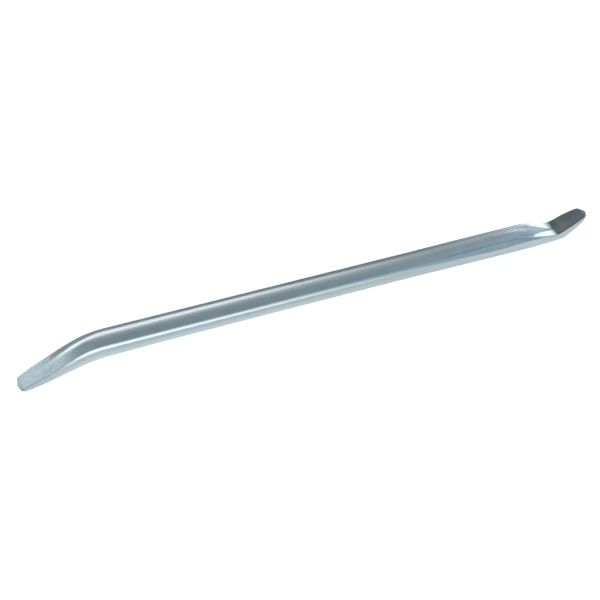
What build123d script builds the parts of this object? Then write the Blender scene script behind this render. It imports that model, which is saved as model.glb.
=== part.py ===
from build123d import *
import math
import os

# A one-piece forged pry bar of hexagonal steel, lying as it rests by itself on a flat surface.
# Every dimension is in millimetres, every angle in degrees. The bar is built in its own frame and
# laid down at the end. In its own frame X runs along the axis of the straight shank, from X = 0,
# where the down-turned chisel end begins, towards the up-turned blade. Y runs across the bar, and
# Z points up through the hexagon's top ridge.

# ---- the hexagonal stock ----
ACROSS_FLATS = 16.0
CORNER_RADIUS = 2.5
RIDGE_RADIUS = 4.5             # the top ridge is worn rounder than the other corners
HALF_FLATS = ACROSS_FLATS / 2
RIDGE = HALF_FLATS / math.cos(math.radians(30))   # axis to a sharp corner
EDGE = RIDGE / 2                                  # height of the sharp side corners

# ---- the straight shank ----
SHANK_LENGTH = 210.0

# ---- the down-turned chisel end ----
CHISEL_TURN = 23.8
CHISEL_BEND_RADIUS = 50.0
CHISEL_RUN = 65.5              # along its centre line, bend included
CHISEL_EDGE_RADIUS = 0.5
NOSE_HALF_WIDTH = 6.7
NOSE_RADIUS = 4.6
NOSE_LENGTH = 5.2              # from the tip to where the nose's outline leaves the chisel's sides
NOSE_CLEAR = 8.0               # from the tip to where the outline is clear of the chisel

# ---- the pressed neck ----
CHAMFER_START = 206.0          # where one upper side corner begins to be flattened
CHAMFER_FULL = 296.0
CHAMFER_DEPTH = 1.5            # off the sharp corner, where it is full
CHAMFER_RISE = 33.0            # of the flat's outward direction above the horizontal
CHAMFER_SIDE = -1              # the side it is on, in Y

# ---- the shoulders, the valley and the up-turned blade ----
SHOULDER = (309.0, 4.4)
VALLEY = (330.3, -0.1)
VALLEY_RADIUS = 9.0
BLADE_TIP = (352.6, 11.5)
BLADE_TIP_UNDER = (351.8, 8.3)
BLADE_UNDER = (344.5, 0.4)     # the underside bellies down between heel and tip
HEEL = (336.3, -5.5)
HEEL_RADIUS = 3.0
BLADE_ROOT = [(328.3, -4.2), (309.0, -1.0)]   # where the blade's body ends inside the neck

# ---- how the bar lies ----
STEEPEST_TILT = 10.0
TILT_HALVINGS = 24


def section(place, upper, lower, ridge, keel, radii):
    """A six-cornered face across the bar: upper and lower are its side corners, as (Y, height)."""
    x, z, pitch = place
    climb = math.radians(pitch)
    plane = Plane(origin=(x, 0, z), x_dir=(0, 1, 0), z_dir=(math.cos(climb), 0, math.sin(climb)))
    left_side = [(-lower[0], lower[1]), (-upper[0], upper[1])]
    corners = [(0, ridge), upper, lower, (0, keel), *left_side]
    ridge_radius, upper_radius, lower_radius, keel_radius = radii
    around = [ridge_radius, upper_radius, lower_radius, keel_radius, lower_radius, upper_radius]
    return plane * make_face(FilletPolyline(*corners, radius=around, close=True))


def hexagon(x):
    """The section of the stock itself."""
    side = HALF_FLATS
    radii = [RIDGE_RADIUS, CORNER_RADIUS, CORNER_RADIUS, CORNER_RADIUS]
    return section((x, 0, 0), (side, EDGE), (side, -EDGE), RIDGE, -RIDGE, radii)


def shank():
    return extrude(hexagon(0), amount=SHANK_LENGTH)


def chisel_place(run):
    """X, Z and pitch of the chisel's centre line at a distance from the shank."""
    turn = math.radians(CHISEL_TURN)
    angle = min(run / CHISEL_BEND_RADIUS, turn)
    straight = max(run - CHISEL_BEND_RADIUS * turn, 0)
    x = -CHISEL_BEND_RADIUS * math.sin(angle) - straight * math.cos(turn)
    z = CHISEL_BEND_RADIUS * (math.cos(angle) - 1) - straight * math.sin(turn)
    return x, z, math.degrees(angle)


def chisel_nose():
    """The plan of the chisel round its nose, as a block square to the chisel's face."""
    x, z, pitch = chisel_place(CHISEL_RUN)
    beyond = 2 * CHISEL_RUN
    side = [(0, NOSE_HALF_WIDTH), (NOSE_LENGTH, NOSE_HALF_WIDTH)]
    side += [(NOSE_CLEAR, ACROSS_FLATS), (beyond, ACROSS_FLATS)]
    other_side = [(along, -across) for along, across in reversed(side)]
    outline = make_face(Polyline(*side, *other_side, close=True))
    plan = fillet(outline.vertices().group_by(Axis.X)[0], NOSE_RADIUS)
    along_chisel = Plane(origin=(x, 0, z)).rotated((0, -pitch, 0))
    return along_chisel * extrude(plan, amount=4 * ACROSS_FLATS, both=True)


def chisel():
    """The stock bends down and is drawn out flat, ending in a rounded nose."""
    # distance along the centre line, half width, half thickness at the edge, crown above the edge
    stations = [
        (0.0, HALF_FLATS, EDGE, EDGE),
        (10.0, HALF_FLATS, 4.4, EDGE),
        (20.0, HALF_FLATS, 3.9, 4.4),
        (30.0, 8.0, 3.2, 3.8),
        (40.0, 7.8, 2.5, 2.4),
        (50.0, 7.3, 2.15, 1.1),
        (58.0, 6.7, 1.8, 0.6),
        (CHISEL_RUN, 5.9, 1.35, 0.35),
    ]
    faces = []
    for run, half_width, half_edge, crown in stations:
        sharpness = 1 - half_edge / EDGE
        edge_radius = CORNER_RADIUS + (CHISEL_EDGE_RADIUS - CORNER_RADIUS) * sharpness
        height = half_edge + crown
        upper = (half_width, half_edge)
        lower = (half_width, -half_edge)
        radii = [RIDGE_RADIUS, edge_radius, edge_radius, CORNER_RADIUS]
        faces.append(section(chisel_place(run), upper, lower, height, -height, radii))
    return loft(faces) & chisel_nose()


# ---- the neck, from the shank to inside the blade's heel ----
# X, upper side corner, lower side corner, ridge, keel, and the radii of ridge, upper corner,
# lower corner and keel
NECK = [
    (SHANK_LENGTH, (HALF_FLATS, EDGE), (HALF_FLATS, -EDGE), RIDGE, -RIDGE, (4.5, 2.5, 2.5, 2.5)),
    (250.0, (8.2, 4.7), (8.2, -4.85), 9.24, -9.24, (4.5, 2.5, 2.5, 2.5)),
    (294.0, (8.3, 4.7), (8.4, -5.2), 9.1, -9.2, (4.0, 2.3, 2.5, 2.5)),
    (309.0, (8.0, 4.0), (8.4, -5.3), 5.8, -8.9, (3.5, 1.8, 2.5, 2.5)),
    (320.0, (6.9, 1.1), (8.2, -5.3), 2.4, -8.1, (3.0, 1.2, 2.3, 2.5)),
    (330.0, (6.9, -1.4), (7.7, -5.1), -0.8, -6.7, (3.0, 0.9, 1.6, 3.0)),
    (336.5, (6.4, -1.5), (6.6, -4.5), -1.1, -5.0, (3.0, 0.9, 1.0, 4.0)),
]


def chamfer_cutter():
    """What is flattened off one upper side corner of the neck."""
    rise = math.radians(CHAMFER_RISE)
    outward = Vector(0, CHAMFER_SIDE * math.cos(rise), math.sin(rise))
    corner = Vector(0, CHAMFER_SIDE * HALF_FLATS, EDGE)
    start = corner + Vector(CHAMFER_START, 0, 0)
    full = corner + Vector(CHAMFER_FULL, 0, 0) - outward * CHAMFER_DEPTH
    along = (full - start).normalized()
    plane = Plane(origin=full, x_dir=along, z_dir=outward - along * outward.dot(along))
    length = 3 * (CHAMFER_FULL - CHAMFER_START)
    return plane * Pos(0, 0, ACROSS_FLATS / 2) * Box(length, ACROSS_FLATS, ACROSS_FLATS)


def neck():
    faces = [section((x, 0, 0), upper, lower, ridge, keel, radii)
             for x, upper, lower, ridge, keel, radii in NECK]
    return loft(faces, ruled=True) - chamfer_cutter()


def blade_profile():
    """Side view of the shoulders, the valley behind them, the blade and its heel."""
    under = ThreePointArc(BLADE_TIP_UNDER, BLADE_UNDER, HEEL)
    rest = Polyline(HEEL, *BLADE_ROOT, SHOULDER, VALLEY, BLADE_TIP, BLADE_TIP_UNDER)
    face = make_face(under + rest)
    valley = face.vertices().sort_by_distance(VALLEY)[0]
    heel = face.vertices().sort_by_distance(HEEL)[0]
    return fillet(fillet(valley, VALLEY_RADIUS).vertices().sort_by_distance(HEEL)[0], HEEL_RADIUS)


def blade_plan():
    """Plan of the shoulders and the blade; its tip is ground a little askew."""
    half_outline = [(SHOULDER[0], 5.9), (314.0, 6.6), (330.0, 6.9), (336.0, 6.95), (342.5, 6.4),
                    (348.8, 5.5)]
    tip = [(351.4, 3.4), (BLADE_TIP[0], -1.2), (351.6, -4.2)]
    left = half_outline
    right = [(x, -y) for x, y in reversed(half_outline)]
    return make_face(Polyline(*left, *tip, *right, close=True))


def blade():
    side_view = Plane.XZ * blade_profile()
    thick = extrude(side_view, amount=ACROSS_FLATS, both=True)
    plan = extrude(blade_plan(), amount=2 * ACROSS_FLATS, both=True)
    return thick & plan


def lowest(piece, tilt):
    return (Rot(0, tilt, 0) * piece).bounding_box().min.Z


def resting_tilt(left_end, right_end):
    """Degrees that lower the bar's right end until both of its ends touch one level surface."""
    too_little, too_much = 0.0, STEEPEST_TILT
    for _ in range(TILT_HALVINGS):
        tilt = (too_little + too_much) / 2
        if lowest(left_end, tilt) < lowest(right_end, tilt):
            too_little = tilt
        else:
            too_much = tilt
    return too_much


def pry_bar():
    """The whole forging, laid down with the middle of its footprint at the origin."""
    left_end = chisel()
    right_end = neck() + blade()
    forging = shank() + left_end + right_end
    laid = Rot(0, resting_tilt(left_end, right_end), 0) * forging
    box = laid.bounding_box()
    middle = (box.min + box.max) / 2
    return Pos(-middle.X, -middle.Y, -box.min.Z) * laid


os.makedirs("parts", exist_ok=True)
bar = pry_bar()
bar.label = "bar"
export_step(bar, "parts/bar.step")
size = bar.bounding_box().size
print(f"bar: {size.X:.1f} x {size.Y:.1f} x {size.Z:.1f} mm, {bar.volume / 1000:.1f} cm3")
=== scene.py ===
import math

import bpy
from mathutils import Matrix, Vector, noise


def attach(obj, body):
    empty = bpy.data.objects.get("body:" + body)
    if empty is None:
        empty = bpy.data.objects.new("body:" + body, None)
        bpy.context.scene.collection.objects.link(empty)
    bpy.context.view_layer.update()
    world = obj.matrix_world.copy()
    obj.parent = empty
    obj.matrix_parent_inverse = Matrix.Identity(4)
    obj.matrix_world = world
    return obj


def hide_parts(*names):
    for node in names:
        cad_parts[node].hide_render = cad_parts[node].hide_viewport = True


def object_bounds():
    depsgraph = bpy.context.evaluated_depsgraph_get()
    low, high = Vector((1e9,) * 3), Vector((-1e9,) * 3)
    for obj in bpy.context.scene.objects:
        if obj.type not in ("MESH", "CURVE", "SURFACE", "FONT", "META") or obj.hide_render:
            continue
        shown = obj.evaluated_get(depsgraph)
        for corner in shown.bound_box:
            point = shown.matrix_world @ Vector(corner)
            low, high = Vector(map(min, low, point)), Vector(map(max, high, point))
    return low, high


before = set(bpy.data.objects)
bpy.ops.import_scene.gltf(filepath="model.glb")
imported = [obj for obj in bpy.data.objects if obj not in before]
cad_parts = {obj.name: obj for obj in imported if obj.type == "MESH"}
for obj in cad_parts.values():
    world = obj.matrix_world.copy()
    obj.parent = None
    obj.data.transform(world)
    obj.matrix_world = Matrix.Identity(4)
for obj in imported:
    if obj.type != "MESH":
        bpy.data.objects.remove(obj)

# The pry bar's finished surface. Lengths are millimetres in the bar's own frame until it is laid
# down: X runs along the axis of the straight shank from X = 0, where the down-turned chisel begins,
# towards the up-turned blade; Y runs across; Z points up through the top ridge.
MM = 0.001
CAD_LOW, CAD_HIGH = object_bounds()

ACROSS_FLATS = 16.0
HALF_FLATS = ACROSS_FLATS / 2
RIDGE = HALF_FLATS / math.cos(math.radians(30))
EDGE = RIDGE / 2
RIDGE_REACH = 4.3                # how far the ridge's rounding reaches down both facets
CHISEL_RIDGE_REACH = 2.4         # the same on the chisel
SIDE_FULLNESS = 0.22             # how far the middle of a side stands out on the shank
FOOT_REACH = 0.9                 # how far the lower corners' rounding reaches
CREASE_SHARE = 0.75              # where the crease lies on the chisel's facet, from ridge to edge
CORNER_REACH_SHARE = 0.96        # the chisel's upper corners are two bends that nearly meet
FAR_SHARPNESS = 0.6              # the far upper corner's radius as a share of the near one's
BELLY = 0.7                      # swelling of the lower corners on the inside of the bend
GROOVE_DEPTH = 0.14              # the drawn line above the neck's chamfer
TILT = math.radians(2.352)       # the shank's fall towards the blade when the bar lies by itself

CHISEL_TURN = math.radians(23.8)
CHISEL_BEND_RADIUS = 50.0
CHISEL_RUN = 65.1
NOSE_HALF_WIDTH = 6.7
FAR_NOSE_RADIUS = 3.2
NEAR_NOSE_RADIUS = 6.5
NOSE_ROUNDING = 0.9              # rounding of the nose seen from the side
NOSE_FLAT_SHARE = 0.35           # share of the nose's thickness that stays flat
BLADE_END = 353.1

# gaps between the bar's sections; at both ends they start at the finest and grow
CHISEL_GAP, SHANK_GAP, NECK_GAP, FINEST_GAP = 0.55, 1.5, 0.5, 0.03
NOSE_GROWTH, TIP_GROWTH = 0.09, 0.1
LEAST_LAST_GAP = 0.04            # the last gap before the blade's end is no smaller
NECK_START = 300.0               # where the neck's sections begin
TIP_LENGTH = 4.5                 # the last stretch, where they come closest


def smooth(low, high, value):
    """0 below low, 1 above high, and an even curve between."""
    t = min(max((value - low) / (high - low), 0.0), 1.0)
    return t * t * (3 - 2 * t)


def along(line, x):
    """The values of a line's stations at x, joined by a curve that never overshoots them."""
    if x <= line[0][0]:
        return line[0][1:]
    if x >= line[-1][0]:
        return line[-1][1:]
    i = next(k for k in range(len(line) - 1) if line[k][0] <= x <= line[k + 1][0])
    x0, x1 = line[i][0], line[i + 1][0]
    gap = x1 - x0
    t = (x - x0) / gap

    def slope(k, axis):
        if k == 0 or k == len(line) - 1:
            return 0.0
        before = (line[k][axis] - line[k - 1][axis]) / (line[k][0] - line[k - 1][0])
        after = (line[k + 1][axis] - line[k][axis]) / (line[k + 1][0] - line[k][0])
        if before * after <= 0:
            return 0.0
        return 2 * before * after / (before + after)

    values = []
    for axis in range(1, len(line[0])):
        a, b = line[i][axis], line[i + 1][axis]
        m0, m1 = slope(i, axis) * gap, slope(i + 1, axis) * gap
        value = a + m0 * t + (3 * (b - a) - 2 * m0 - m1) * t**2 + (2 * (a - b) + m0 + m1) * t**3
        values.append(value)
    return tuple(values)


def straight(line, x):
    """The values of a line's stations at x, joined by straight stretches."""
    i = next((k for k in range(len(line) - 2) if x <= line[k + 1][0]), len(line) - 2)
    t = (x - line[i][0]) / (line[i + 1][0] - line[i][0])
    return tuple(a + (b - a) * t for a, b in zip(line[i][1:], line[i + 1][1:]))


# ---- the chisel: run along its centre line, then half width, half thickness at the edge,
# crown above the edge, and corner radius ----
CHISEL = [
    (0.0, 8.0, EDGE, EDGE, 3.2),
    (10.0, 8.0, 4.5, 4.6, 3.0),
    (20.0, 8.05, 4.0, 4.4, 2.5),
    (30.0, 8.05, 3.4, 3.6, 2.0),
    (38.0, 7.95, 2.7, 2.6, 1.6),
    (46.0, 7.5, 2.35, 1.5, 1.5),
    (54.0, 6.95, 2.0, 0.8, 1.4),
    (61.0, 6.3, 1.45, 0.4, 1.2),
    (CHISEL_RUN, 5.6, 0.9, 0.25, 0.8),
]

# ---- the neck and the blade: lines that run along the bar, each as X, (Y,) Z ----
RIDGE_LINE = [
    (206, RIDGE), (290, 9.2), (300, 8.2), (309, 5.9), (314.5, 4.3), (320.5, 2.3), (327, 0.0), (330, -0.5),
    (333, 0.6), (338.5, 3.8), (343, 6.2), (348.5, 9.2), (351.2, 10.7), (BLADE_END, 12.0),
]
CREASE_LINE = [
    (206, 6.0, 5.775), (245, 4.9, 6.41), (282, 4.6, 6.58), (300, 5.0, 5.75), (309, 5.8, 4.5),
    (312, 4.4, 4.05), (314.5, 3.75, 3.65), (317.5, 3.1, 2.9), (320.5, 2.4, 1.95), (324, 1.6, 0.85),
    (327, 1.1, 0.0), (330, 1.1, -0.35), (333, 2.0, 0.7), (338.5, 2.2, 3.9), (343, 2.2, 6.3),
    (348.5, 2.0, 9.25), (351.2, 1.9, 10.75), (BLADE_END, 1.8, 12.05),
]
UPPER_EDGE = [
    (206, 7.12, 5.12), (235, 6.50, 5.50), (255, 6.12, 5.85), (282, 5.6, 6.05), (297, 6.0, 5.7),
    (305, 6.3, 4.9), (309, 6.4, 4.2), (312, 6.5, 3.4), (314.5, 6.6, 2.75), (320.5, 6.7, 1.5),
    (327, 6.75, 0.5), (330, 6.85, 0.4), (333, 6.95, 1.1), (338.5, 6.7, 4.2), (342.5, 6.4, 6.3),
    (348.5, 5.5, 9.4), (351.2, 4.9, 10.8), (BLADE_END, 4.6, 12.1),
]
SIDE_TOP = [
    (206, 8.0, 3.60), (235, 8.1, 2.75), (255, 8.15, 2.25), (282, 8.2, 1.3), (296, 8.22, 2.4),
    (305, 8.2, 2.7), (312, 7.8, 1.9), (318, 7.2, 0.6), (324, 7.1, -0.1), (330, 7.1, -0.3),
    (334, 7.1, 0.9), (338.5, 6.95, 3.4), (342.5, 6.65, 5.6), (348.5, 5.7, 8.8), (351.2, 5.0, 10.4),
    (BLADE_END, 4.7, 11.7),
]
# the far side keeps its corner until the ramp
FAR_UPPER_EDGE = [
    (206, 7.46, 4.93), (255, 7.55, 4.98), (290, 7.6, 4.98), (306, 7.6, 4.95), (310, 7.6, 4.5),
    (313, 7.5, 3.95), (316.5, 7.2, 3.1), (320.5, 6.9, 2.1), (327, 6.75, 0.5),
]
FAR_SIDE_TOP = [
    (206, 8.0, 4.0), (255, 8.15, 4.0), (290, 8.22, 3.9), (304, 8.22, 3.8), (312, 8.1, 3.2),
    (316, 7.7, 2.3), (320, 7.3, 1.1), (324, 7.1, -0.1),
]
SIDE_FOOT = [
    (206, 8.0, -EDGE), (250, 8.15, -4.95), (294, 8.24, -5.3), (309, 8.24, -5.4), (320, 8.1, -5.5),
    (328, 7.7, -5.6), (334, 7.3, -5.6), (337, 7.15, -5.3), (340, 6.9, -3.2), (343.5, 6.55, -0.8),
    (346.5, 6.1, 1.7), (349.5, 5.5, 4.2), (351.8, 5.0, 6.5), (BLADE_END, 4.7, 7.5),
]
KEEL_LINE = [
    (206, -RIDGE), (294, -9.2), (309, -8.9), (320, -8.1), (330, -6.7), (335, -5.9), (337, -5.4),
    (340, -3.2), (343.5, -0.8), (346.5, 1.7), (349.5, 4.2), (351.8, 6.5), (BLADE_END, 7.5),
]
# how far each rounding reaches along the faces beside it: ridge, crease, upper edge, side top,
# side foot and keel
REACH = [
    (206, RIDGE_REACH, 0.5, 0.8, 0.8, FOOT_REACH, 1.44),
    (255, RIDGE_REACH, 0.5, 0.8, 0.7, FOOT_REACH, 1.44),
    (290, RIDGE_REACH, 0.4, 0.7, 0.7, FOOT_REACH, 1.44),
    (309, 1.4, 0.3, 0.4, 0.6, FOOT_REACH, 1.4),
    (320, 0.8, 0.3, 0.4, 0.4, 1.3, 1.6),
    (330, 0.8, 0.5, 0.4, 0.3, 1.0, 2.2),
    (338, 1.0, 0.8, 0.35, 0.3, 0.7, 2.5),
    (BLADE_END, 1.0, 0.5, 0.3, 0.2, 0.5, 1.5),
]
# plan of the blade's ground tip: X, far edge and near edge
TIP_PLAN = [(349.2, 5.4, -5.5), (350.9, 4.6, -5.2), (352.0, 1.9, -4.7), (BLADE_END, -1.0, -2.0)]

# points spent on each stretch of half a section, from the ridge round to the keel
ROUNDING_POINTS = [6, 3, 5, 5, 7, 6]
FACE_POINTS = [7, 5, 2, 9, 11]
# the largest share of a side that each rounding may take
REACH_SHARE = [0.72, 0.25, 0.48, 0.48, 0.48, 0.48]
NEARLY_STRAIGHT = 0.004          # half a corner's turn in radians, under which it isn't rounded
ROUNDING_SHARE = 0.3             # how much of a place number the rounding of a corner takes up


def chisel_place(run):
    """X, Z and pitch of the chisel's centre line at a distance from the shank."""
    angle = min(run / CHISEL_BEND_RADIUS, CHISEL_TURN)
    beyond = max(run - CHISEL_BEND_RADIUS * CHISEL_TURN, 0.0)
    x = -CHISEL_BEND_RADIUS * math.sin(angle) - beyond * math.cos(CHISEL_TURN)
    z = CHISEL_BEND_RADIUS * (math.cos(angle) - 1) - beyond * math.sin(CHISEL_TURN)
    return x, z, angle


def chisel_corners(run, far):
    """Corners and reaches of one half of a section of the chisel."""
    half_width, half_edge, crown, radius = along(CHISEL, run)
    radius *= FAR_SHARPNESS if far else 1.0
    left = CHISEL_RUN - run
    nose_radius = FAR_NOSE_RADIUS if far else NEAR_NOSE_RADIUS
    if left < nose_radius:
        nose = NOSE_HALF_WIDTH - nose_radius + math.sqrt(nose_radius**2 - (nose_radius - left) ** 2)
        half_width = min(half_width, nose)
    if left < NOSE_ROUNDING:
        roundness = math.sqrt(max(1 - ((NOSE_ROUNDING - left) / NOSE_ROUNDING) ** 2, 0.0))
        half_edge *= NOSE_FLAT_SHARE + (1 - NOSE_FLAT_SHARE) * roundness
        half_width -= NOSE_ROUNDING * (1 - roundness)
    slope = math.atan2(crown, half_width)
    turn = math.pi / 2 - slope
    cut = radius * (math.tan(turn / 2) - math.tan(turn / 4))
    reach = CORNER_REACH_SHARE * radius * math.tan(turn / 4)
    upper = (half_width - cut * math.cos(slope), half_edge + cut * math.sin(slope))
    side = (half_width, half_edge - cut)
    top = half_edge + crown
    crease = (CREASE_SHARE * half_width, half_edge + (1 - CREASE_SHARE) * crown)
    foot_reach = FOOT_REACH * half_edge / EDGE
    corners = [(0.0, top), crease, upper, side, (half_width, -half_edge - belly(-run)), (0.0, -top)]
    ridge_reach = RIDGE_REACH + (CHISEL_RIDGE_REACH - RIDGE_REACH) * smooth(2, 16, run)
    return corners, [ridge_reach, 0.5, reach, reach, foot_reach, ridge_reach]


def neck_corners(x, far):
    """Corners and reaches of one half of a section of the shank, the neck or the blade.

    Only the near side's corner was pressed flat along the neck.
    """
    ridge, = along(RIDGE_LINE, x)
    keel, = along(KEEL_LINE, x)
    upper = along(FAR_UPPER_EDGE if far and x < FAR_UPPER_EDGE[-1][0] else UPPER_EDGE, x)
    side = along(FAR_SIDE_TOP if far and x < FAR_SIDE_TOP[-1][0] else SIDE_TOP, x)
    foot_y, foot_z = along(SIDE_FOOT, x)
    foot = (foot_y, foot_z - belly(x))
    return [(0.0, ridge), along(CREASE_LINE, x), upper, side, foot, (0.0, keel)], along(REACH, x)


def arc(corner, before, after, reach, share, count):
    """count + 1 points of the arc that rounds a corner.

    It reaches that far along both sides, and never over more than a share of either.
    """
    to_before = Vector(before) - Vector(corner)
    to_after = Vector(after) - Vector(corner)
    reach = min(reach, share * to_before.length, share * to_after.length)
    a, b = to_before.normalized(), to_after.normalized()
    start, end = Vector(corner) + a * reach, Vector(corner) + b * reach
    half_turn = (math.pi - a.angle(b)) / 2
    if half_turn < NEARLY_STRAIGHT:
        return [start.lerp(end, k / count) for k in range(count + 1)]
    centre = Vector(corner) + (a + b).normalized() * (reach / math.sin(half_turn))
    radius = reach / math.tan(half_turn)
    first = start - centre
    second = end - centre
    sweep = 2 * half_turn
    points = []
    for k in range(count + 1):
        t = k / count
        mix = (first * math.sin((1 - t) * sweep) + second * math.sin(t * sweep)) / math.sin(sweep)
        points.append(centre + mix.normalized() * radius)
    return points


def half_section(corners, reaches, fullness):
    """Points from the ridge round to the keel on the +Y side, each with its place round the bar.

    The place is 0 on the ridge, 1 on the crease, 2 on the upper edge, 3 on the side's top, 4 on
    its foot and 5 on the keel.
    """
    mirrored = [(-corners[1][0], corners[1][1]), *corners, (-corners[-2][0], corners[-2][1])]
    points, places = [], []
    last_corner = len(corners) - 1
    for i, corner in enumerate(corners):
        count = ROUNDING_POINTS[i]
        on_axis = i in (0, last_corner)
        bend = arc(corner, mirrored[i], mirrored[i + 2], reaches[i], REACH_SHARE[i],
                   2 * count if on_axis else count)
        spread = [i + ROUNDING_SHARE * (2 * k / (len(bend) - 1) - 1) for k in range(len(bend))]
        if i == 0:
            bend, spread = bend[count:], spread[count:]
        elif on_axis:
            bend, spread = bend[:count + 1], spread[:count + 1]
        if i > 0:
            steps = [(k + 1) / (FACE_POINTS[i - 1] + 1) for k in range(FACE_POINTS[i - 1])]
            last, last_place = points[-1], places[-1]
            swell = 4 * fullness if i == 4 else 0.0
            points += [last.lerp(bend[0], t) + Vector((swell * t * (1 - t), 0)) for t in steps]
            places += [last_place + (spread[0] - last_place) * t for t in steps]
        points += bend
        places += spread
    return points, places


def stations():
    """Distances along the bar where it gets a section; negative on the chisel."""
    runs = []
    run = CHISEL_RUN
    while run > 0:
        runs.append(-run)
        left = CHISEL_RUN - run
        run -= FINEST_GAP + NOSE_GROWTH * left if left < NEAR_NOSE_RADIUS else CHISEL_GAP
    x = 0.0
    while x < BLADE_END - LEAST_LAST_GAP:
        runs.append(x)
        ahead = BLADE_END - x
        if x < NECK_START:
            x += SHANK_GAP
        elif ahead > TIP_LENGTH:
            x += NECK_GAP
        else:
            x += FINEST_GAP + TIP_GROWTH * ahead
    runs.append(BLADE_END)
    return runs


def tip_shift(x, y):
    """Y of a point after the blade's tip is ground to its plan."""
    if x <= TIP_PLAN[0][0]:
        return y
    far, near = straight(TIP_PLAN, x)
    half, _ = along(UPPER_EDGE, x)
    middle = (far + near) / 2 * smooth(TIP_PLAN[0][0], BLADE_END, x)
    scale = (far - middle) / half if y > 0 else (middle - near) / half
    return middle + y * scale


def belly(u):
    """How much the bar's lower corners swell on the inside of the bend."""
    return BELLY * smooth(-30, -8, u) * (1 - smooth(0, 40, u))


def ring(u):
    """One closed section in the bar's frame, with each point's place round the bar."""
    if u < 0:
        x, z, pitch = chisel_place(-u)
        far_half, places = half_section(*chisel_corners(-u, far=True), SIDE_FULLNESS)
        near_half, _ = half_section(*chisel_corners(-u, far=False), SIDE_FULLNESS)
    else:
        x, z, pitch = u, 0.0, 0.0
        fullness = SIDE_FULLNESS * (1 - 0.55 * smooth(206, 250, u))
        far_half, places = half_section(*neck_corners(u, far=True), fullness)
        near_half, _ = half_section(*neck_corners(u, far=False), fullness)
    outline = far_half + [Vector((-p.x, p.y)) for p in reversed(near_half[1:-1])]
    places = places + list(reversed(places[1:-1]))
    points = []
    for p in outline:
        across = tip_shift(u, p.x)
        points.append(Vector((x - p.y * math.sin(pitch), across, z + p.y * math.cos(pitch))))
    return points, places


# the finishes that vary over the bar, one partly a painted highlight and two of them painted shade: name,
# colour and roughness
FINISHES = [
    # partly wear, mostly a painted highlight on the corners and ramps
    ("wear_and_painted_highlight", (0.88, 0.92, 0.95, 1), 0.38),
    # painted shade on the tongue and on the drawn line
    ("painted_shade", (0.34, 0.41, 0.47, 1), 0.42),
    ("matt", (0.57, 0.65, 0.70, 1), 0.52),
    # painted shade: a near-black colour on the ground blade face
    ("ground_face_painted_shade", (0.145, 0.157, 0.163, 1), 0.5),
]
# where along the bar each mark fades in and fades out; on the chisel, distances from the shank
BRIGHT_OUT, BRIGHT_OUT_CHISEL = (140, 300), (14, 32)
GROOVE_IN, GROOVE_OUT = (200, 260), (304, 310)
TONGUE_IN, TONGUE_OUT = (296, 308), (327, 333)
RAMP_IN, RAMP_OUT = (305, 309), (328, 333)
GROUND_IN = (328.5, 332)
HAMMERED_IN, DENTS_IN = (28, 45), (26, 44)
FAR_DIMMING = 0.85               # how much weaker the painted highlight and wear are on the far ramp and the far end of the shank


def between(fade_in, fade_out, u):
    """1 between the two fades, 0 outside them."""
    return smooth(*fade_in, u) * (1 - smooth(*fade_out, u))


def bump_at(place, corner):
    """1 on a corner of the section, falling to 0 at the ends of its rounding."""
    return smooth(0.0, 1.0, 1 - abs(place - corner) / (ROUNDING_SHARE * 1.15))


def groove_at(place, u):
    """How much of the drawn line above the chamfer is at a point, 0 to 1."""
    return bump_at(place, 2) * between(GROOVE_IN, GROOVE_OUT, u)


def finish_at(place, u, y):
    """How much of each finish is at a point, each 0 to 1: a painted highlight with some wear on the
    corners and ramps, painted shade on the tongue and drawn line, hammered matt, and painted shade on the
    ground blade face.
    """
    corner = max(bump_at(place, k) for k in (0, 2, 3, 4, 5))
    # painted highlight on the corners, with some wear, fading out along the shank and on the chisel
    corner_wear_and_highlight = corner * (1 - FAR_DIMMING * smooth(*BRIGHT_OUT, u)) * (1 - smooth(*BRIGHT_OUT_CHISEL, -u))
    # painted highlight on the pressed ramps, weaker on the far ramp
    ramp = between((1.05, 1.3), (2.0, 2.4), place) * between(RAMP_IN, RAMP_OUT, u)
    ramp *= 1 - FAR_DIMMING * smooth(-1, 1, y)
    # painted shade on the tongue
    tongue = (1 - smooth(0.95, 1.15, place)) * between(TONGUE_IN, TONGUE_OUT, u)
    hammered = (1 - smooth(3.3, 4.0, place)) * smooth(*HAMMERED_IN, -u)
    # painted shade on the ground blade face, a little weaker on its middle
    ground = (1 - smooth(1.85, 2.15, place)) * smooth(*GROUND_IN, u)
    rim = 0.9 + 0.1 * smooth(1.55, 1.8, place)
    # the drawn line above the chamfer gets the same painted shade as the tongue
    return max(corner_wear_and_highlight, ramp), max(tongue, groove_at(place, u)), hammered, ground * rim


def dent(point, scale, depth, start=(0, 0, 0)):
    """Smooth noise that is this deep, from a place of its own in the pattern."""
    return noise.noise(point * scale + Vector(start)) * depth


def forged_dents(point, u, place):
    """How far the surface stands off its smooth shape."""
    hammered = dent(point, 0.22, 0.12) + dent(point, 0.5, 0.17, (7, 3, 1)) + dent(point, 1.1, 0.06)
    shank = dent(Vector((point.x * 0.03, point.y * 0.2, point.z * 0.2)), 1, 0.03)
    blade = smooth(300, 330, u) * dent(point, 0.5, 0.05, (2, 9, 4))
    return smooth(*DENTS_IN, -u) * hammered + shank + blade - GROOVE_DEPTH * groove_at(place, u)


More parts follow.
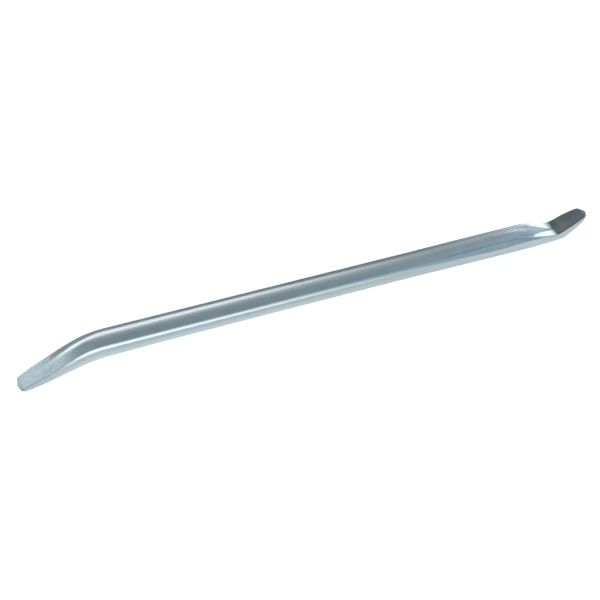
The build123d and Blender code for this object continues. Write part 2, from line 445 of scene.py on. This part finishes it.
def surface_grid():
    """The surface's points, each point's place round the bar and its distance along, and faces."""
    runs = stations()
    points, places, run_of = [], [], []
    for u in runs:
        section, round_bar = ring(u)
        points += section
        places += round_bar
        run_of += [u] * len(section)
    count = len(points) // len(runs)
    faces = []
    for i in range(len(runs) - 1):
        for k in range(count):
            a, b = i * count + k, i * count + (k + 1) % count
            faces.append((a, b, b + count, a + count))
    for start, turned in ((0, False), ((len(runs) - 1) * count, True)):
        points.append(sum(points[start:start + count], Vector()) / count)
        places.append(places[start + count // 4])
        run_of.append(run_of[start])
        hub = len(points) - 1
        for k in range(count):
            a, b = start + k, start + (k + 1) % count
            faces.append((a, b, hub) if turned else (b, a, hub))
    return points, places, run_of, faces


def shift_to_cad(points):
    """The move that centres points in the CAD's box and sets them on its floor."""
    low = Vector([min(point[i] for point in points) for i in range(3)])
    high = Vector([max(point[i] for point in points) for i in range(3)])
    shift = (CAD_LOW + CAD_HIGH - low - high) / 2
    shift.z = CAD_LOW.z - low.z
    return shift


def build_bar():
    """The whole surface as one closed mesh with its finishes, laid down in the CAD's place."""
    points, places, run_of, faces = surface_grid()
    mesh = bpy.data.meshes.new("bar_surface")
    mesh.from_pydata(points, [], faces)
    mesh.update()
    normals = [vertex.normal.copy() for vertex in mesh.vertices]
    lay_down = Matrix.Diagonal((MM, MM, MM, 1)) @ Matrix.Rotation(TILT, 4, "Y")
    laid = [lay_down @ (point + normal * forged_dents(point, u, place))
            for point, normal, u, place in zip(points, normals, run_of, places)]
    mesh.vertices.foreach_set("co", [value for point in laid for value in point])
    mesh.transform(Matrix.Translation(shift_to_cad(laid)))
    mesh.update()
    finishes = zip(*[finish_at(place, u, point.y) for place, u, point in zip(places, run_of, points)])
    for (name, _, _), values in zip(FINISHES, finishes):
        mesh.attributes.new(name, "FLOAT", "POINT").data.foreach_set("value", values)
    mesh.shade_smooth()
    bar = bpy.data.objects.new("forged_bar", mesh)
    bpy.context.scene.collection.objects.link(bar)
    return bar


def node(tree, kind, **settings):
    """A new node of a kind with its settings."""
    made = tree.nodes.new(kind)
    for key, value in settings.items():
        setattr(made, key, value)
    return made


# a colour Mix node's sockets share their names with its float sockets, so they go by number
MIX_COLOUR_A, MIX_COLOUR_B, MIX_COLOUR_RESULT = 6, 7, 2


def noise_texture(tree, vector, detail, scale=1.0):
    """The value of a noise texture at a vector."""
    texture = node(tree, "ShaderNodeTexNoise")
    texture.inputs["Scale"].default_value = scale
    texture.inputs["Detail"].default_value = detail
    tree.links.new(vector, texture.inputs["Vector"])
    return texture.outputs["Fac"]


def stretched(tree, vector, scale):
    """A vector scaled by its own amount on each axis."""
    mapping = node(tree, "ShaderNodeMapping")
    mapping.inputs["Scale"].default_value = scale
    tree.links.new(vector, mapping.inputs["Vector"])
    return mapping.outputs["Vector"]


def plating_colour(tree, mottle, streaks, masks):
    """Colour of the plating: mottling and streaks, then each finish over its mask, painted highlight and
    painted shade among them.
    """
    link = tree.links.new
    grain = node(tree, "ShaderNodeMix", data_type="FLOAT")
    grain.inputs["Factor"].default_value = 0.5
    link(mottle, grain.inputs["A"])
    link(streaks, grain.inputs["B"])
    ramp = node(tree, "ShaderNodeValToRGB")
    darker, lighter = ramp.color_ramp.elements
    darker.position, darker.color = 0.3, (0.53, 0.63, 0.67, 1)
    lighter.position, lighter.color = 0.7, (0.63, 0.72, 0.76, 1)
    link(grain.outputs["Result"], ramp.inputs["Fac"])
    colour = ramp.outputs["Color"]
    for name, finish, _ in FINISHES:
        blend = node(tree, "ShaderNodeMix", data_type="RGBA")
        link(masks[name], blend.inputs["Factor"])
        link(colour, blend.inputs[MIX_COLOUR_A])
        blend.inputs[MIX_COLOUR_B].default_value = finish
        colour = blend.outputs[MIX_COLOUR_RESULT]
    return colour


def plating_roughness(tree, mottle, masks):
    """Roughness of the plating: mottled, then each finish over its mask."""
    link = tree.links.new
    spread = node(tree, "ShaderNodeMapRange")
    spread.inputs["To Min"].default_value = 0.22
    spread.inputs["To Max"].default_value = 0.36
    link(mottle, spread.inputs["Value"])
    roughness = spread.outputs["Result"]
    for name, _, value in FINISHES:
        blend = node(tree, "ShaderNodeMix", data_type="FLOAT")
        link(masks[name], blend.inputs["Factor"])
        link(roughness, blend.inputs["A"])
        blend.inputs["B"].default_value = value
        roughness = blend.outputs["Result"]
    return roughness


def drawn_lines(tree, place):
    """The normal of a surface with very fine lines along the bar."""
    bump = node(tree, "ShaderNodeBump")
    bump.inputs["Strength"].default_value = 0.25
    bump.inputs["Distance"].default_value = 0.00005
    lines = noise_texture(tree, stretched(tree, place, (60.0, 1800.0, 1800.0)), detail=3.0)
    tree.links.new(lines, bump.inputs["Height"])
    return bump.outputs["Normal"]


def zinc_steel():
    """Zinc plating on forged steel: soft mottling, fine drawn lines and the four finishes over them,
    which paint a highlight on the corners and ramps and paint shade on the tongue, the drawn line and the
    ground blade face.
    """
    material = bpy.data.materials.new("zinc_steel")
    material.use_nodes = True
    tree = material.node_tree
    shader = tree.nodes["Principled BSDF"]
    shader.inputs["Metallic"].default_value = 1.0
    place = node(tree, "ShaderNodeTexCoord").outputs["Object"]
    masks = {name: node(tree, "ShaderNodeAttribute", attribute_name=name).outputs["Fac"]
             for name, _, _ in FINISHES}
    mottle = noise_texture(tree, place, detail=6.0, scale=120.0)
    streaks = noise_texture(tree, stretched(tree, place, (14.0, 900.0, 900.0)), detail=4.0)
    tree.links.new(plating_colour(tree, mottle, streaks, masks), shader.inputs["Base Color"])
    tree.links.new(plating_roughness(tree, mottle, masks), shader.inputs["Roughness"])
    tree.links.new(drawn_lines(tree, place), shader.inputs["Normal"])
    return material


def floor_material():
    """Plain pale sheet that glows a little, as a lit table does."""
    material = bpy.data.materials.new("pale_floor")
    material.use_nodes = True
    shader = material.node_tree.nodes["Principled BSDF"]
    shader.inputs["Base Color"].default_value = (0.93, 0.93, 0.93, 1)
    shader.inputs["Roughness"].default_value = 0.9
    shader.inputs["Specular IOR Level"].default_value = 0.1
    shader.inputs["Emission Color"].default_value = (1, 1, 1, 1)
    shader.inputs["Emission Strength"].default_value = 0.65
    return material


FLOOR_HALF = 12.0
FLOOR_GAP = 0.0002               # the floor lies just under the bar


def add_floor():
    """A plain pale sheet; the metal mirrors the studio's own light table instead of it."""
    mesh = bpy.data.meshes.new("floor")
    corners = [(FLOOR_HALF * x, FLOOR_HALF * y, 0) for x, y in ((-1, -1), (1, -1), (1, 1), (-1, 1))]
    mesh.from_pydata(corners, [], [(0, 1, 2, 3)])
    mesh.materials.append(floor_material())
    floor = bpy.data.objects.new("floor", mesh)
    floor.location.z = CAD_LOW.z - FLOOR_GAP
    floor.visible_glossy = False
    bpy.context.scene.collection.objects.link(floor)


# the camera stands where the photograph's did, in degrees and metres; the aim is from the middle of
# the bar's box
CAMERA_AZIMUTH, CAMERA_ELEVATION, CAMERA_ROLL = 20.2, 52.0, 0.35
CAMERA_DISTANCE = 0.5371
CAMERA_AIM = Vector((-0.01483, 0.0004, -0.0079))
LENS, SENSOR = 46.8, 36.0        # millimetres


def add_camera():
    """The camera at the photograph's angle."""
    azimuth, elevation = math.radians(CAMERA_AZIMUTH), math.radians(CAMERA_ELEVATION)
    aim = (CAD_LOW + CAD_HIGH) / 2 + CAMERA_AIM
    back = Vector((-math.cos(elevation) * math.sin(azimuth), -math.cos(elevation) * math.cos(azimuth),
                   math.sin(elevation)))
    data = bpy.data.cameras.new("camera")
    data.lens = LENS
    data.sensor_width = SENSOR
    camera = bpy.data.objects.new("camera", data)
    roll = Matrix.Rotation(math.radians(CAMERA_ROLL), 4, "Z")
    turn = back.to_track_quat("Z", "Y").to_matrix().to_4x4() @ roll
    camera.matrix_world = Matrix.Translation(aim + back * CAMERA_DISTANCE) @ turn
    bpy.context.scene.collection.objects.link(camera)
    bpy.context.scene.camera = camera


def add_area(name, place, aim, size, power):
    """A rectangular softbox at a place, turned to its aim; metres and watts."""
    data = bpy.data.lights.new(name, "AREA")
    data.shape = "RECTANGLE"
    data.size, data.size_y = size
    data.energy = power
    light = bpy.data.objects.new(name, data)
    light.location = place
    light.rotation_euler = (Vector(place) - Vector(aim)).to_track_quat("Z", "Y").to_euler()
    bpy.context.scene.collection.objects.link(light)


ROOM = (0.285, 0.335, 0.345)     # the dim blue-grey studio round the bar
# its soft patches: direction, the half angles in degrees where a patch is full and where it ends,
# and colour
STUDIO = [
    ((0.0, -0.45, -0.89), 10, 34, (0.80, 0.84, 0.83)),
    ((0.62, -0.55, -0.56), 10, 30, (0.86, 0.90, 0.90)),
    ((0.0, -0.30, -0.95), 5, 26, (0.95, 0.98, 0.97)),
    ((0.25, 0.96, -0.10), 6, 32, (0.21, 0.22, 0.24)),
    ((0.75, 0.66, 0.05), 8, 28, (0.95, 1.00, 1.03)),
    ((0.84, -0.28, 0.52), 14, 36, (0.44, 0.55, 0.66)),
    ((0.50, -0.84, 0.18), 8, 26, (0.36, 0.45, 0.53)),
    ((-0.42, -0.83, 0.36), 12, 30, (1.00, 1.05, 1.08)),
    ((-0.46, -0.54, -0.70), 10, 27, (1.00, 1.04, 1.04)),
    ((-0.85, 0.20, 0.48), 12, 34, (0.84, 0.89, 0.92)),
    ((-0.05, -0.98, -0.12), 10, 24, (1.50, 1.56, 1.60)),
]
# name, place, aim, size and power of each softbox
SOFTBOXES = [
    ("back_softbox", (-0.45, 0.92, 0.61), (-0.1, 0, 0), (1.8, 1.03), 4.6),
    ("right_softbox", (1.05, 0.35, 0.40), (0.15, 0, 0), (0.9, 0.6), 1.7),
    ("front_strip", (-0.20, -1.0, 0.22), (-0.05, 0, 0), (1.15, 0.4), 1.0),
]


def add_studio():
    """The room as a world: its own colour with each soft patch blended over it in turn."""
    world = bpy.data.worlds.new("studio")
    bpy.context.scene.world = world
    world.use_nodes = True
    tree = world.node_tree
    coords = node(tree, "ShaderNodeTexCoord")
    colour = None
    for direction, full, end, patch in STUDIO:
        toward = node(tree, "ShaderNodeVectorMath", operation="DOT_PRODUCT")
        tree.links.new(coords.outputs["Generated"], toward.inputs[0])
        toward.inputs[1].default_value = Vector(direction).normalized()
        share = node(tree, "ShaderNodeMapRange", interpolation_type="SMOOTHSTEP")
        share.inputs["From Min"].default_value = math.cos(math.radians(end))
        share.inputs["From Max"].default_value = math.cos(math.radians(full))
        tree.links.new(toward.outputs["Value"], share.inputs["Value"])
        blend = node(tree, "ShaderNodeMix", data_type="RGBA")
        tree.links.new(share.outputs["Result"], blend.inputs["Factor"])
        if colour is None:
            blend.inputs[MIX_COLOUR_A].default_value = (*ROOM, 1)
        else:
            tree.links.new(colour, blend.inputs[MIX_COLOUR_A])
        blend.inputs[MIX_COLOUR_B].default_value = (*patch, 1)
        colour = blend.outputs[MIX_COLOUR_RESULT]
    tree.links.new(colour, tree.nodes["Background"].inputs["Color"])


bar = build_bar()
bar.data.materials.append(zinc_steel())
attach(bar, "root")
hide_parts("bar")

add_floor()
add_camera()
add_studio()
for softbox in SOFTBOXES:
    add_area(*softbox)
bpy.context.scene.view_settings.view_transform = "Standard"
